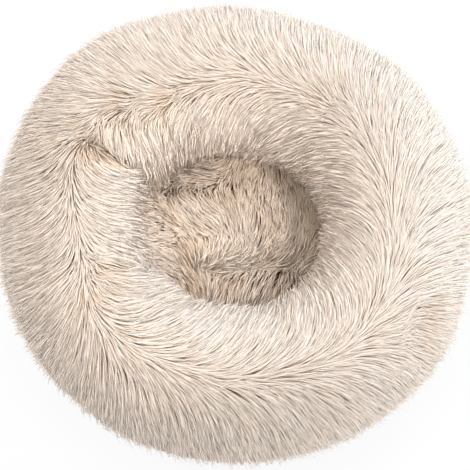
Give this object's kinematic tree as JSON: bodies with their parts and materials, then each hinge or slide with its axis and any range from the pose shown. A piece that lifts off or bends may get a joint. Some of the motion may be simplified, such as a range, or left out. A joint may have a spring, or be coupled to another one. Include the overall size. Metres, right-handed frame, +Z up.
{
  "type": "cat bed",
  "caption": "Round donut pet bed in long-pile faux fur: a plump stuffed rim around a soft nest floor, a zip cover with fibre-filled inner bags, and a grip-dot base.",
  "frame": {"origin": "centre of the face that the bed stands on, at the bottom of the middle grip dot", "axes": "+Z up; +X to the right and +Y away from the viewer, as in the picture, with the zip on the +Y side"},
  "size_m": [0.4974, 0.4955, 0.1699],
  "materials": {
    "plush_fur": "long cream pile",
    "base_cloth": "coated woven cloth",
    "seam_cloth": "plain woven",
    "zip_chain": "moulded teeth on woven tape",
    "zip_metal": "plated, semi-bright",
    "bag_cloth": "non-woven, matt",
    "fibre_fill": "loose white fibre"
  },
  "bodies": {
    "root": {"rim_fur_cover": "plush_fur", "floor_fur_panel": "plush_fur", "base_cloth": "base_cloth", "closing_band": "seam_cloth", "nest_seam_binding": "seam_cloth", "zip_half_upper": "zip_chain", "zip_half_lower": "zip_chain", "zip_top_stop_upper": "zip_metal", "zip_top_stop_lower": "zip_metal", "zip_bottom_stop": "zip_metal", "rim_bag_upper": "bag_cloth", "rim_bag_lower": "bag_cloth", "rim_fibre_fill": "fibre_fill", "pad_bag_upper": "bag_cloth", "pad_bag_lower": "bag_cloth", "pad_fibre_fill": "fibre_fill"},
    "zip_slider": {"zip_slider": "zip_metal"},
    "zip_pull": {"zip_pull": "zip_metal"}
  },
  "joints": [
    {"name": "zip_run", "type": "hinge", "parent": "root", "child": "zip_slider", "pos_m": [0, 0, 0], "axis": [0, 0, -1], "range_deg": [0, 60], "deforming": ["zip_half_upper", "zip_half_lower"]},
    {"name": "pull_flip", "type": "hinge", "parent": "zip_slider", "child": "zip_pull", "pos_m": [-0.11466, 0.19031, 0.02214], "axis": [-0.2511, 0.4167, 0.8737], "range_deg": [0, 175]}
  ]
}
